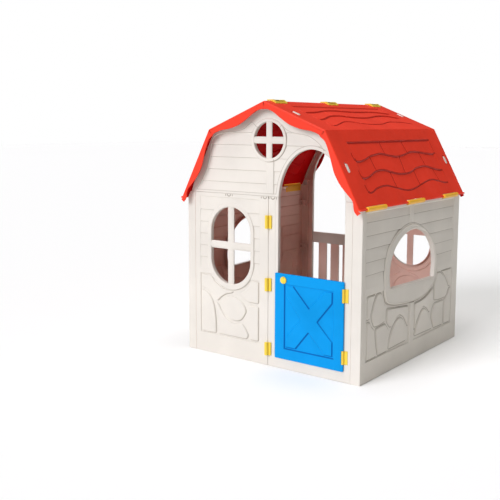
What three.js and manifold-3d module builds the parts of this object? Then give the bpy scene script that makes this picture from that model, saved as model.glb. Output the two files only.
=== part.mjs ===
// Folding plastic playhouse. Two tray-shaped side walls carry folding front and back panels,
// lift-off gables and a roof of two halves, each of which bends at a knee.
// Millimetres. +Z is up, the door faces -Y, and the origin is on the floor under the middle.
import * as THREE from 'three';
import { mergeVertices } from 'three/addons/utils/BufferGeometryUtils.js';
import Module from 'manifold-3d';

const wasm = await Module();
wasm.setup();

// Walls
const HALF_WIDTH = 437;
const HALF_DEPTH = 451;
const TRAY = 42;
const PANEL = 16;
const SKIN = 3;
const SEAM = 706;
const WALL_TOP = 680;
const RIM_TOP = SEAM - 0.5;
const TRAY_EDGE = HALF_WIDTH - TRAY;
const PANEL_END = TRAY_EDGE - 0.5;
// Folding: the corner pivots lie inside the trays, the centre pivots stand in front of the panels
const CORNER_X = TRAY_EDGE + PANEL;
const CORNER_Y = HALF_DEPTH - PANEL;
const CENTRE_Y = HALF_DEPTH + 10;
const CORNER_STATIONS = [120, 353, 586];
const CENTRE_STATIONS = [73, 343, 602];
// Openings
const DOORWAY = { left: 50, right: 360, sill: 50, spring: 690, rise: 210 };
const WINDOW = { x: -198, z: 484, halfWidth: 106, halfHeight: 165, bar: 16 };
const ROUND_WINDOW = { z: 933, radius: 74, bar: 14 };
const SIDE_WINDOW = [
  [-216, 342], [190, 330], [198, 392], [186, 446], [156, 494], [108, 532], [50, 554],
  [-10, 562], [-72, 556], [-132, 534], [-182, 498], [-212, 452], [-224, 398],
];
// Roof
const HALF_ROOF = 487;
const EAVE = [443, 680];
const KNEE = [288, 975];
const RIDGE = [0, 1090];
const FASCIA = 4;
const EAVE_STATIONS = [-358, -18, 330];
const EAVE_CLIP_HALF = 74;
const RIDGE_STATIONS = [-398, 0, 398];
const RIDGE_CLIP_HALF = 46;
const TAB_UPPER_X = 129;
const TAB_LOWER_X = 363;
// Door
const DOOR = { left: 41, bottom: 44, top: 398, thick: 8 };
const DOOR_PIVOT = [362, -(HALF_DEPTH + 5)];
const DOOR_STATIONS = [100, 343];
const DOOR_CLIP_HALF = 27;
const KNOB = [85, 372];

const COLOURS = {
  cream: [0.87, 0.83, 0.76],
  red: [0.78, 0.08, 0.05],
  blue: [0.02, 0.38, 0.83],
  yellow: [0.95, 0.68, 0.1],
  pin: [0.8, 0.78, 0.72],
};

const part = new THREE.Group();
part.name = 'folding_playhouse';

function toSolid(geometry) {
  const bare = geometry.index ? geometry.toNonIndexed() : geometry.clone();
  bare.deleteAttribute('normal');
  bare.deleteAttribute('uv');
  const merged = mergeVertices(bare, 1e-4);
  const mesh = new wasm.Mesh({
    numProp: 3,
    vertProperties: new Float32Array(merged.attributes.position.array),
    triVerts: new Uint32Array(merged.index.array),
  });
  return new wasm.Manifold(mesh);
}

function toGeometry(solid) {
  const mesh = solid.getMesh();
  const geometry = new THREE.BufferGeometry();
  geometry.setAttribute('position', new THREE.BufferAttribute(new Float32Array(mesh.vertProperties), 3));
  geometry.setIndex(new THREE.BufferAttribute(new Uint32Array(mesh.triVerts), 1));
  return geometry;
}

const join = (...solids) => solids.flat().reduce((a, b) => a.add(b));
const cut = (from, ...solids) => solids.flat().reduce((a, b) => a.subtract(b), from);

function block(x0, x1, y0, y1, z0, z1) {
  const box = new THREE.BoxGeometry(x1 - x0, y1 - y0, z1 - z0);
  box.translate((x0 + x1) / 2, (y0 + y1) / 2, (z0 + z1) / 2);
  return toSolid(box);
}

function outlineShape(points) {
  return new THREE.Shape(points.map(([a, b]) => new THREE.Vector2(a, b)));
}

function extruded(points, depth) {
  return new THREE.ExtrudeGeometry(outlineShape(points), { depth, bevelEnabled: false, steps: 1 });
}

// An outline in X and Z, given thickness from y0 to y1
function prismY(points, y0, y1) {
  const geometry = extruded(points, y1 - y0);
  geometry.rotateX(Math.PI / 2);
  geometry.translate(0, y1, 0);
  return toSolid(geometry);
}

// An outline in Y and Z, given thickness from x0 to x1
function prismX(points, x0, x1) {
  const geometry = extruded(points, x1 - x0);
  const turn = new THREE.Matrix4().set(0, 0, 1, 0, 1, 0, 0, 0, 0, 1, 0, 0, 0, 0, 0, 1);
  geometry.applyMatrix4(turn);
  geometry.translate(x0, 0, 0);
  return toSolid(geometry);
}

// An outline in X and Y, given thickness from z0 to z1
function prismZ(points, z0, z1) {
  const geometry = extruded(points, z1 - z0);
  geometry.translate(0, 0, z0);
  return toSolid(geometry);
}

function rodY(x, z, radius, y0, y1, sides = 12) {
  const rod = new THREE.CylinderGeometry(radius, radius, y1 - y0, sides);
  rod.translate(x, (y0 + y1) / 2, z);
  return toSolid(rod);
}

function rodZ(x, y, radius, z0, z1, sides = 12) {
  const rod = new THREE.CylinderGeometry(radius, radius, z1 - z0, sides);
  rod.rotateX(Math.PI / 2);
  rod.translate(x, y, (z0 + z1) / 2);
  return toSolid(rod);
}

function rectangle(a0, a1, b0, b1) {
  return [[a0, b0], [a1, b0], [a1, b1], [a0, b1]];
}

// A flat-sided oval: two half circles joined by straight sides, centred on (a, b)
function stadium(a, b, halfA, halfB, steps = 8) {
  const radius = Math.min(halfA, halfB);
  const reachA = halfA - radius;
  const reachB = halfB - radius;
  const points = [];
  for (let quarter = 0; quarter < 4; quarter += 1) {
    const signA = quarter === 0 || quarter === 3 ? 1 : -1;
    const signB = quarter < 2 ? 1 : -1;
    for (let i = 0; i <= steps; i += 1) {
      const angle = ((quarter + i / steps) * Math.PI) / 2;
      const point = [
        a + signA * reachA + radius * Math.cos(angle),
        b + signB * reachB + radius * Math.sin(angle),
      ];
      const last = points[points.length - 1];
      if (!last || Math.hypot(point[0] - last[0], point[1] - last[1]) > 0.01) {
        points.push(point);
      }
    }
  }
  const [first, last] = [points[0], points[points.length - 1]];
  if (Math.hypot(first[0] - last[0], first[1] - last[1]) < 0.01) {
    points.pop();
  }
  return points;
}

// The same outline moved inwards by a distance (outwards if negative), with mitred corners
function inset(points, distance) {
  const area = points.reduce((sum, [a, b], i) => {
    const [c, d] = points[(i + 1) % points.length];
    return sum + a * d - b * c;
  }, 0);
  const side = area > 0 ? 1 : -1;
  const normal = ([a, b], [c, d]) => {
    const length = Math.hypot(c - a, d - b);
    return [(-side * (d - b)) / length, (side * (c - a)) / length];
  };
  return points.map((point, i) => {
    const before = normal(points[(i + points.length - 1) % points.length], point);
    const after = normal(point, points[(i + 1) % points.length]);
    const spread = 1 + before[0] * after[0] + before[1] * after[1];
    return [
      point[0] + (distance * (before[0] + after[0])) / spread,
      point[1] + (distance * (before[1] + after[1])) / spread,
    ];
  });
}

// Adds a named piece, and if asked for a second name the same moulding turned half round for the other side
function piece(name, solid, colour, oppositeName) {
  const material = () => new THREE.MeshStandardMaterial({
    color: new THREE.Color(...COLOURS[colour]),
    roughness: 0.5,
    metalness: 0,
  });
  const geometry = toGeometry(solid);
  const mesh = new THREE.Mesh(geometry, material());
  mesh.name = name;
  part.add(mesh);
  if (oppositeName) {
    const turned = new THREE.Mesh(geometry.clone().rotateZ(Math.PI), material());
    turned.name = oppositeName;
    part.add(turned);
  }
}

// ---- Side walls: trays that open inwards ----

function sideWall() {
  const rim = [
    [TRAY_EDGE, 0], [HALF_WIDTH, 0], [HALF_WIDTH, WALL_TOP], [HALF_WIDTH - 11, WALL_TOP + 21],
    [HALF_WIDTH - 14, RIM_TOP], [TRAY_EDGE, RIM_TOP],
  ];
  const inner = HALF_DEPTH - SKIN;
  const skin = HALF_WIDTH - SKIN;
  let wall = prismY(rim, -HALF_DEPTH, HALF_DEPTH);
  wall = cut(
    wall,
    block(TRAY_EDGE - 5, skin, -inner, inner, SKIN, WALL_TOP - SKIN),
    block(TRAY_EDGE - 5, CORNER_X + 2, -inner, inner, -5, SEAM + 5),
    block(TRAY_EDGE - 5, HALF_WIDTH + 5, -inner, inner, WALL_TOP, SEAM + 5),
  );
  // A wall round the window opening, then the opening itself
  wall = join(wall, prismX(inset(SIDE_WINDOW, -SKIN), CORNER_X + 8, skin + 1));
  wall = cut(wall, prismX(SIDE_WINDOW, TRAY_EDGE, HALF_WIDTH + 5));
  // Lugs above and below each corner pivot
  for (const end of [-1, 1]) {
    const y = end * CORNER_Y;
    for (const station of CORNER_STATIONS) {
      for (const z of [station - 14.4, station + 6.4]) {
        const lug = join(
          rodZ(CORNER_X, y, 8, z, z + 8),
          block(CORNER_X, skin + 1, y - 8, y + 8, z, z + 8),
        );
        wall = join(wall, cut(lug, rodZ(CORNER_X, y, 4.2, z - 1, z + 9)));
      }
    }
  }
  // Notches in the top edge for the eave clips
  for (const y of EAVE_STATIONS) {
    const half = EAVE_CLIP_HALF + 1;
    wall = cut(wall, block(CORNER_X + 1, HALF_WIDTH + 5, y - half, y + half, EAVE[1] - 11, SEAM + 5));
  }
  return wall;
}

piece('right_wall', sideWall(), 'cream', 'left_wall');

function cornerPin(station) {
  return rodZ(CORNER_X, -CORNER_Y, 3.9, station - 14.4, station + 14.4);
}

CORNER_STATIONS.forEach((station, i) => {
  piece(`corner_pin_front_right_${i + 1}`, cornerPin(station), 'pin', `corner_pin_back_left_${i + 1}`);
});
CORNER_STATIONS.forEach((station, i) => {
  const mirrored = rodZ(-CORNER_X, -CORNER_Y, 3.9, station - 14.4, station + 14.4);
  piece(`corner_pin_front_left_${i + 1}`, mirrored, 'pin', `corner_pin_back_right_${i + 1}`);
});

// ---- Front and back panels ----

// Ears that reach from a panel's outer end into the tray, side is +1 or -1
function cornerEars(side) {
  return CORNER_STATIONS.map((station) => {
    const [x0, x1] = [side * (PANEL_END - 2), side * CORNER_X];
    const ear = join(
      rodZ(side * CORNER_X, -CORNER_Y, 8, station - 6, station + 6),
      block(Math.min(x0, x1), Math.max(x0, x1), -CORNER_Y - 8, -CORNER_Y + 0.001, station - 6, station + 6),
    );
    return cut(ear, rodZ(side * CORNER_X, -CORNER_Y, 4.2, station - 7, station + 7));
  });
}

// A tray as deep as the panels, open to the inside, with a wall round its outline and each opening
function panelTray(outline, openings) {
  let pocket = prismY(inset(outline, SKIN), -HALF_DEPTH + SKIN, -HALF_DEPTH + PANEL + 1);
  for (const opening of openings) {
    pocket = cut(pocket, prismY(inset(opening, -SKIN), -HALF_DEPTH, -HALF_DEPTH + PANEL + 2));
  }
  const holes = openings.map((opening) => prismY(opening, -HALF_DEPTH - 1, -HALF_DEPTH + PANEL + 1));
  return cut(prismY(outline, -HALF_DEPTH, -HALF_DEPTH + PANEL), pocket, holes);
}

// Crossed bars that fill the middle of a window
function windowBars(x, z, halfWidth, halfHeight, bar) {
  const [front, back] = [-HALF_DEPTH + 1, -HALF_DEPTH + 9];
  return join(
    block(x - bar, x + bar, front, back, z - halfHeight - 1, z + halfHeight + 1),
    block(x - halfWidth - 1, x + halfWidth + 1, front, back, z - bar, z + bar),
  );
}

function windowPanel() {
  const { x, z, halfWidth, halfHeight, bar } = WINDOW;
  const opening = stadium(x, z, halfWidth, halfHeight, 7);
  const tray = panelTray(rectangle(-PANEL_END, -0.5, 0, SEAM - 0.5), [opening]);
  const lugs = CENTRE_STATIONS.flatMap((station) => [-1, 1].map((end) => {
    const [near, far] = end > 0 ? [station + 27.5, station + 35] : [station - 35, station - 27.5];
    const [pinLow, pinHigh] = end > 0 ? [near - 9, far] : [near, far + 9];
    return join(
      block(-16, -0.5, -CENTRE_Y, -HALF_DEPTH + 1, near, far),
      rodZ(0, -CENTRE_Y, 6.5, near, far),
      rodZ(0, -CENTRE_Y, 3.2, pinLow, pinHigh),
    );
  }));
  return join(tray, windowBars(x, z, halfWidth, halfHeight, bar), cornerEars(-1), lugs);
}

function doorwayPanel() {
  const { left, right, sill } = DOORWAY;
  const outline = [
    [0.5, 0], [PANEL_END, 0], [PANEL_END, SEAM - 0.5], [right, SEAM - 0.5],
    [right, sill], [left, sill], [left, SEAM - 0.5], [0.5, SEAM - 0.5],
  ];
  return join(panelTray(outline, []), cornerEars(1));
}

function doorHingeRecesses() {
  return DOOR_STATIONS.map((z) => {
    const half = DOOR_CLIP_HALF + 0.3;
    return block(357, 382, -HALF_DEPTH - 1, -HALF_DEPTH + 7, z - half, z + half);
  });
}

// The doorway panel's hinge recesses are lined, so that the moulding stays closed behind the clips
function doorFramePanel() {
  const linings = DOOR_STATIONS.map((z) => {
    const half = DOOR_CLIP_HALF + 3;
    return block(DOORWAY.right, 385, -HALF_DEPTH, -HALF_DEPTH + 10, z - half, z + half);
  });
  return cut(join(doorwayPanel(), linings), doorHingeRecesses());
}

piece('front_left_panel', windowPanel(), 'cream', 'back_right_panel');
piece('front_right_panel', doorFramePanel(), 'cream');
const backDoorway = new THREE.Mesh(
  toGeometry(doorwayPanel()).rotateZ(Math.PI),
  new THREE.MeshStandardMaterial({ color: new THREE.Color(...COLOURS.cream), roughness: 0.5, metalness: 0 }),
);
backDoorway.name = 'back_left_panel';
part.add(backDoorway);

function centreClip(station) {
  const barrel = join(
    rodZ(0, -CENTRE_Y, 9, station - 27, station + 27, 16),
    block(4, 23, -HALF_DEPTH - 3.3, -HALF_DEPTH - 0.3, station - 27, station + 27),
  );
  return cut(barrel, [-1, 1].map((end) => {
    const [low, high] = end > 0 ? [station + 17, station + 28] : [station - 28, station - 17];
    return rodZ(0, -CENTRE_Y, 3.5, low, high);
  }));
}

CENTRE_STATIONS.forEach((station, i) => {
  piece(`front_centre_hinge_${i + 1}`, centreClip(station), 'yellow', `back_centre_hinge_${i + 1}`);
});

// ---- Gables ----

function gable() {
  const knee = [284.8, 971.4];
  const half = [[416, SEAM], [404, 742], knee];
  const arch = [];
  const middle = (DOORWAY.left + DOORWAY.right) / 2;
  const halfWidth = (DOORWAY.right - DOORWAY.left) / 2;
  for (let i = 0; i <= 20; i += 1) {
    const angle = Math.PI * (i / 20);
    arch.push([middle + halfWidth * Math.cos(angle), DOORWAY.spring + DOORWAY.rise * Math.sin(angle)]);
  }
  const above = arch.filter(([, z]) => z > SEAM + 1);
  const outline = [
    [-416, SEAM], [DOORWAY.left, SEAM], ...above.reverse(), [DOORWAY.right, SEAM],
    ...half, [0, RIDGE[1] - 4.8], [-knee[0], knee[1]], [-404, 742],
  ];
  const { z, radius, bar } = ROUND_WINDOW;
  const round = stadium(0, z, radius, radius, 7);
  const tray = panelTray(outline, [round]);
  const tongues = [-1, 1].map((side) => {
    const [x0, x1] = side > 0 ? [397, 410] : [-410, -397];
    return block(x0, x1, -HALF_DEPTH + 3.5, -HALF_DEPTH + 10, SEAM - 14, SEAM + 3);
  });
  return join(tray, windowBars(0, z, radius, radius, bar), tongues, gableTabs());
}

// Oval prisms square to a roof slope, centred at a distance x from the middle, side is +1 or -1
function slopeOval(from, to, x, side, halfLong, halfWide, y, low, high, shift = 0) {
  const length = Math.hypot(to[0] - from[0], to[1] - from[1]);
  const along = [(to[0] - from[0]) / length, (to[1] - from[1]) / length];
  const z = from[1] + ((x - from[0]) * along[1]) / along[0];
  const geometry = extruded(stadium(shift, 0, halfLong, halfWide, 4), high - low);
  geometry.translate(0, 0, low);
  const outward = [along[1], -along[0]];
  const turn = new THREE.Matrix4().set(
    side * along[0], 0, side * outward[0], side * x,
    0, -side, 0, y,
    along[1], 0, outward[1], z,
    0, 0, 0, 1,
  );
  geometry.applyMatrix4(turn);
  return toSolid(geometry);
}

function gableTabs() {
  const y = -HALF_DEPTH + PANEL / 2;
  return [-1, 1].flatMap((side) => [
    slopeOval(KNEE, RIDGE, TAB_UPPER_X, side, 18, 6, y, -9, 0.5),
    slopeOval(EAVE, KNEE, TAB_LOWER_X, side, 18, 6, y, -9, 0.5),
  ]);
}

piece('front_gable', gable(), 'cream', 'back_gable');

// ---- Door, its hinges and its turn latch ----

function door() {
  const [pivotX, pivotY] = DOOR_PIVOT;
  const y0 = pivotY - DOOR.thick / 2;
  const y1 = pivotY + DOOR.thick / 2;
  let leaf = join(
    block(DOOR.left, pivotX, y0, y1, DOOR.bottom, DOOR.top),
    rodZ(pivotX, pivotY, DOOR.thick / 2, DOOR.bottom, DOOR.top),
  );
  for (const z of DOOR_STATIONS) {
    const half = DOOR_CLIP_HALF + 0.5;
    leaf = cut(leaf, block(pivotX - 5.2, pivotX + 6, y0 - 1, y1 + 1, z - half, z + half));
    leaf = join(
      leaf,
      rodZ(pivotX, pivotY, 2.1, z - half - 3, z - half + 9),
      rodZ(pivotX, pivotY, 2.1, z + half - 9, z + half + 3),
    );
  }
  // Hollow back, and the hole for the latch shaft
  const cells = [[DOOR.left + 4, 196], [200, pivotX - 10]].map(([x0, x1]) =>
    block(x0, x1, y0 + 3, y1 + 1, DOOR.bottom + 4, 300));
  return cut(leaf, cells, rodY(KNOB[0], KNOB[1], 6.3, y0 - 1, y1 + 1));
}

function doorClip(z) {
  const [x, y] = DOOR_PIVOT;
  const low = z - DOOR_CLIP_HALF;
  const high = z + DOOR_CLIP_HALF;
  const body = join(
    rodZ(x, y, 4.6, low, high),
    block(x - 3, x + 5, y + 2, y + 6, low, high),
    block(x - 1.5, x + 19, y + 5, y + 10, low, high),
  );
  return cut(body, rodZ(x, y, 2.4, low - 1, low + 10), rodZ(x, y, 2.4, high - 10, high + 1));
}

function latch() {
  const [x, z] = KNOB;
  const face = DOOR_PIVOT[1] - DOOR.thick / 2;
  return join(
    rodY(x, z, 15, face - 6, face - 0.4, 24),
    block(x - 3.5, x + 3.5, face - 9, face - 5, z - 13, z + 13),
    rodY(x, z, 5.9, face - 1, -HALF_DEPTH + PANEL + 6),
    block(x - 7, x + 7, -HALF_DEPTH + PANEL + 1, -HALF_DEPTH + PANEL + 6, z - 50, z + 7),
  );
}

piece('door', door(), 'blue');
DOOR_STATIONS.forEach((z, i) => piece(`door_hinge_${i + 1}`, doorClip(z), 'yellow'));
piece('door_latch', latch(), 'yellow');

// ---- Picket railing in the back doorway ----

function railing() {
  const { left, right, sill } = DOORWAY;
  const [y0, y1] = [-HALF_DEPTH + 2, -HALF_DEPTH + 12];
  const slats = [55, 128, 200, 273].map((x) => block(x, x + 49, y0 + 1, y1 - 1, sill + 5, 400));
  return join(
    block(left + 0.5, right - 0.5, y0, y1, 380, 436),
    block(left + 0.5, right - 0.5, y0, y1, sill + 0.5, sill + 40),
    slats,
  );
}

const railingMesh = new THREE.Mesh(
  toGeometry(railing()).rotateZ(Math.PI),
  new THREE.MeshStandardMaterial({ color: new THREE.Color(...COLOURS.cream), roughness: 0.5, metalness: 0 }),
);
railingMesh.name = 'back_railing';
part.add(railingMesh);

// ---- Roof: two halves, each a lower and an upper slope that bend at the knee ----

const BISECTOR = [-0.6698, -0.7425];
const FASCIA_LOWER_EDGE = [
  [287, 932], [303, 897], [316, 856], [331, 812], [357, 770], [387, 738], [411, 712], [418, 677],
  [432, 660], [447, 671],
];
const FASCIA_UPPER_EDGE = [[257, 959], [222, 971], [173, 979], [124, 995], [79, 1022], [45, 1045], [20, 1055]];

// The strip between a line and a parallel one inside it
function slopeStrip(from, to, thickness) {
  const length = Math.hypot(to[0] - from[0], to[1] - from[1]);
  const inward = [-(to[1] - from[1]) / length, (to[0] - from[0]) / length];
  const move = ([x, z], d) => [x + inward[0] * d, z + inward[1] * d];
  return [from, to, move(to, thickness), move(from, thickness)];
}

// Everything on one side of the plane that halves the knee's angle, 0.4 mm back from it
function pastKnee(side) {
  const normal = [-BISECTOR[1], BISECTOR[0]];
  const at = (along, off) => [
    KNEE[0] + BISECTOR[0] * along + side * normal[0] * off,
    KNEE[1] + BISECTOR[1] * along + side * normal[1] * off,
  ];
  return prismY([at(-40, 0.4), at(90, 0.4), at(90, -60), at(-40, -60)], -HALF_ROOF - 5, HALF_ROOF + 5);
}

function bothEnds(outline) {
  return [
    prismY(outline, -HALF_ROOF, -HALF_ROOF + FASCIA),
    prismY(outline, HALF_ROOF - FASCIA, HALF_ROOF),
  ];
}

function lowerRoof() {
  const beyond = [KNEE[0] - 1.86, KNEE[1] + 3.54];
  let slope = join(
    prismY(slopeStrip(EAVE, beyond, SKIN), -HALF_ROOF, HALF_ROOF),
    bothEnds([EAVE, KNEE, [265.5, 950], ...FASCIA_LOWER_EDGE]),
  );
  slope = cut(slope, pastKnee(1));
  const along = new THREE.Vector2(KNEE[0] - EAVE[0], KNEE[1] - EAVE[1]).normalize();
  const angle = Math.atan2(along.y, along.x);
  for (const y of EAVE_STATIONS) {
    const notch = new THREE.BoxGeometry(24, 2 * EAVE_CLIP_HALF + 1, 16);
    notch.rotateY(-angle);
    notch.translate(EAVE[0], y, EAVE[1]);
    slope = cut(slope, toSolid(notch));
  }
  const edges = [-HALF_ROOF, ...EAVE_STATIONS.flatMap((y) => [y - EAVE_CLIP_HALF, y + EAVE_CLIP_HALF]), HALF_ROOF];
  for (let i = 0; i < edges.length; i += 2) {
    const start = i === 0 ? edges[0] : edges[i] - 12;
    const end = i === edges.length - 2 ? edges[i + 1] : edges[i + 1] + 12;
    slope = join(slope, rodY(EAVE[0], EAVE[1], 4, start, end));
  }
  const slots = [-1, 1].map((end) => slopeOval(
    EAVE, KNEE, TAB_LOWER_X, 1, 23, 7.5, end * (HALF_DEPTH - PANEL / 2), -8, 5, 4,
  ));
  return cut(slope, slots);
}

function upperRoof() {
  const past = [RIDGE[0] + 0.5, RIDGE[1] - 0.2];
  const before = [KNEE[0] + 3.71, KNEE[1] - 1.48];
  const outline = [KNEE, past, [0.5, 1056], ...[...FASCIA_UPPER_EDGE].reverse(), [265.5, 950]];
  let slope = join(
    prismY(slopeStrip(before, past, SKIN), -HALF_ROOF, HALF_ROOF),
    bothEnds(outline),
  );
  slope = cut(slope, pastKnee(-1), block(-20, 0.5, -600, 600, 1000, 1100));
  const slots = [-1, 1].map((end) => slopeOval(
    KNEE, RIDGE, TAB_UPPER_X, 1, 22, 7.5, end * (HALF_DEPTH - PANEL / 2), -8, 5, 3,
  ));
  const clipSlots = RIDGE_STATIONS.map((y) => block(14, 19, y - 30, y + 30, 1060, 1100));
  return cut(slope, slots, clipSlots);
}

piece('right_roof_lower', lowerRoof(), 'red', 'left_roof_lower');
piece('right_roof_upper', upperRoof(), 'red', 'left_roof_upper');

function eaveClip(y) {
  const [x, z] = EAVE;
  const [low, high] = [y - EAVE_CLIP_HALF, y + EAVE_CLIP_HALF];
  const body = join(
    rodY(x, z, 9.5, low, high, 20),
    block(HALF_WIDTH - SKIN - 3.6, x - 5, low + 2, high - 2, z - 7, z),
    block(HALF_WIDTH - SKIN - 3.6, HALF_WIDTH - SKIN - 0.4, low + 14, high - 14, z - 45, z - 4),
  );
  return cut(body, rodY(x, z, 4.4, low - 1, low + 13), rodY(x, z, 4.4, high - 13, high + 1));
}

EAVE_STATIONS.forEach((y, i) => {
  piece(`right_eave_hinge_${i + 1}`, eaveClip(y), 'yellow', `left_eave_hinge_${i + 1}`);
});

// The left part of a ridge clip is flat underneath, so that the left half can swing out from under it
function ridgeClip(y) {
  const [low, high] = [y - RIDGE_CLIP_HALF, y + RIDGE_CLIP_HALF];
  const fall = (RIDGE[1] - KNEE[1]) / KNEE[0];
  const cap = prismY([
    [-19, RIDGE[1] + 0.5], [0, RIDGE[1] + 0.5], [27, RIDGE[1] - 27 * fall + 0.5],
    [25, RIDGE[1] - 25 * fall + 5], [10, RIDGE[1] + 5.5], [-16, RIDGE[1] + 5.5],
  ], low, high);
  const leg = block(14.3, 18.7, y - 29.7, y + 29.7, RIDGE[1] - 16, RIDGE[1] - 4);
  return cut(join(cap, leg), block(-7, 7, y - 28, y + 28, RIDGE[1] + 2.5, RIDGE[1] + 20));
}

RIDGE_STATIONS.forEach((y, i) => piece(`ridge_clip_${i + 1}`, ridgeClip(y), 'yellow'));

export default part;
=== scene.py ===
"""Looks of the folding plastic playhouse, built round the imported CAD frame.

Lengths are in millimetres until a mesh is made, and every mesh is in metres in the row frame:
+Z is up, the door faces -Y, and the origin is on the floor under the middle of the house.
"""

import math

import bmesh
import bpy
import numpy as np
from mathutils import Matrix, Vector
from mathutils.geometry import delaunay_2d_cdt


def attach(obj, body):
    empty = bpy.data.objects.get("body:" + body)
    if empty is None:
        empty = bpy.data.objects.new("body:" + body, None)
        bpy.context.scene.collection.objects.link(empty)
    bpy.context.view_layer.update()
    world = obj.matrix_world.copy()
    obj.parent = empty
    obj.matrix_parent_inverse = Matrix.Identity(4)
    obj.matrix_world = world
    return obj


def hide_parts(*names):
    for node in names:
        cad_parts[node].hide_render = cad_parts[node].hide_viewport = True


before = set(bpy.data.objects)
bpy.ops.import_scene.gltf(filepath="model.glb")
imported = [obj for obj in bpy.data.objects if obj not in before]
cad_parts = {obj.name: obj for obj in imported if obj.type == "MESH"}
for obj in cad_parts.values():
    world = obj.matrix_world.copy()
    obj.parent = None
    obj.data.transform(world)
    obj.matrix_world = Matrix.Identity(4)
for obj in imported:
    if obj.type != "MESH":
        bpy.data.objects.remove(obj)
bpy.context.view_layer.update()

# ---- Main sizes, the same as the CAD part's ----

HALF_WIDTH = 437.0
HALF_DEPTH = 451.0
PANEL_END = 394.5
CORNER_X = 411.0
CORNER_Y = 435.0
CENTRE_Y = 461.0
SEAM = 705.5
WALL_TOP = 680.0
CORNER_STATIONS = (120, 353, 586)
CENTRE_STATIONS = (73, 343, 602)
EAVE_STATIONS = (-358, -18, 330)
RIDGE_STATIONS = (-398, 0, 398)
DOOR_STATIONS = (100, 343)
HALF_ROOF = 487.0
EAVE = np.array([443.0, 680.0])
KNEE = np.array([288.0, 975.0])
RIDGE = np.array([0.0, 1090.0])
DOOR_PIVOT = (362.0, -456.0)
PIVOT_TO_FACE = 4.0
KNOB = (85.0, 372.0)
DOORWAY = (50.0, 360.0)
WINDOW = (-198, 484, 106, 165)
ROUND_WINDOW = (0, 933, 74, 74)
ARCH_MIDDLE = (205, 690)

# ---- Sizes of the mouldings ----

SKIN = 2.6
DOOR_SKIN = 2.4
ROOF_SKIN = 3.0
RIM = 3.0
TRAY_DEPTH = 42.0
FOOT_DEPTH = 24.0
SILL_DEPTH = 18.0
PANEL_DEPTH = 16.0
BARS_PROUD = 0.6
EYE_RADIUS = 8.0
HINGE_CLIP_HALF = 27.0
EAVE_CLIP_HALF = 74.0
RIDGE_CLIP_HALF = 42.0
SHARP_ANGLE = 50


# ---- Lines in a plane ----


def curve(points, closed=False, step=8.0):
    """A smooth line through the points, sampled about every step."""
    p = np.array(points, float)
    n = len(p)
    out = []
    for i in range(n if closed else n - 1):
        before = p[i - 1] if closed or i > 0 else 2 * p[0] - p[1]
        start, end = p[i], p[(i + 1) % n]
        after = p[(i + 2) % n] if closed or i + 2 < n else 2 * p[-1] - p[-2]
        count = max(2, math.ceil(np.linalg.norm(end - start) / step))
        for t in np.arange(count) / count:
            square = 2 * before - 5 * start + 4 * end - after
            cube = 3 * start - before - 3 * end + after
            out.append(0.5 * (2 * start + (end - before) * t + square * t**2 + cube * t**3))
    if not closed:
        out.append(p[-1])
    return np.array(out)


def rounded(points, radius, steps=4):
    """A closed outline with rounded corners. radius is one number, or one for each corner."""
    p = np.array(points, float)
    radii = np.broadcast_to(radius, len(p))
    out = []
    for i, corner in enumerate(p):
        a, c = p[i - 1] - corner, p[(i + 1) % len(p)] - corner
        reach = min(radii[i], np.linalg.norm(a) * 0.49, np.linalg.norm(c) * 0.49)
        if reach < 0.05:
            out.append(corner)
            continue
        start = corner + a / np.linalg.norm(a) * reach
        end = corner + c / np.linalg.norm(c) * reach
        for t in np.linspace(0, 1, steps + 1):
            out.append((1 - t) ** 2 * start + 2 * t * (1 - t) * corner + t**2 * end)
    return np.array(out)


def box2(a0, a1, b0, b1, radius=0.0):
    return rounded([(a0, b0), (a1, b0), (a1, b1), (a0, b1)], radius)


def stadium(a, b, half_a, half_b, steps=14):
    """A flat-sided oval round (a, b)."""
    radius = min(half_a, half_b)
    angles = np.linspace(0, 2 * math.pi, 4 * steps, endpoint=False)
    angles += math.pi / (4 * steps)
    x, y = np.cos(angles), np.sin(angles)
    across = a + np.sign(x) * (half_a - radius) + radius * x
    return np.stack([across, b + np.sign(y) * (half_b - radius) + radius * y], 1)


def anticlockwise(loop):
    p = np.array(loop, float)
    q = np.roll(p, -1, 0)
    return p if (p[:, 0] * q[:, 1] - q[:, 0] * p[:, 1]).sum() > 0 else p[::-1].copy()


def offset(line, distance, closed=True):
    """The line moved to its left, which is inwards for a closed anticlockwise outline."""
    p = np.array(line, float)
    if closed:
        a, b = p - np.roll(p, 1, 0), np.roll(p, -1, 0) - p
    else:
        steps = np.diff(p, axis=0)
        a, b = np.vstack([steps[:1], steps]), np.vstack([steps, steps[-1:]])
    a /= np.linalg.norm(a, axis=1)[:, None] + 1e-9
    b /= np.linalg.norm(b, axis=1)[:, None] + 1e-9
    left_a, left_b = np.stack([-a[:, 1], a[:, 0]], 1), np.stack([-b[:, 1], b[:, 0]], 1)
    spread = np.maximum(1 + (left_a * left_b).sum(1), 0.4)
    return p + (left_a + left_b) / spread[:, None] * distance


def distance(points, line, closed=True):
    """Distance from each point to the line."""
    best = np.full(len(points), 1e12)
    count = len(line) if closed else len(line) - 1
    for i in range(count):
        a, b = line[i], line[(i + 1) % len(line)]
        d = b - a
        t = np.clip(((points - a) @ d) / max(d @ d, 1e-12), 0, 1)
        gap = points - a - t[:, None] * d
        best = np.minimum(best, (gap * gap).sum(1))
    return np.sqrt(best)


def inside(points, loop):
    x, y = points[:, 0], points[:, 1]
    odd = np.zeros(len(points), bool)
    for i in range(len(loop)):
        (x0, y0), (x1, y1) = loop[i - 1], loop[i]
        if y0 == y1:
            continue
        crosses = (y0 > y) != (y1 > y)
        odd ^= crosses & (x < (x1 - x0) * (y - y0) / (y1 - y0) + x0)
    return odd


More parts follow.
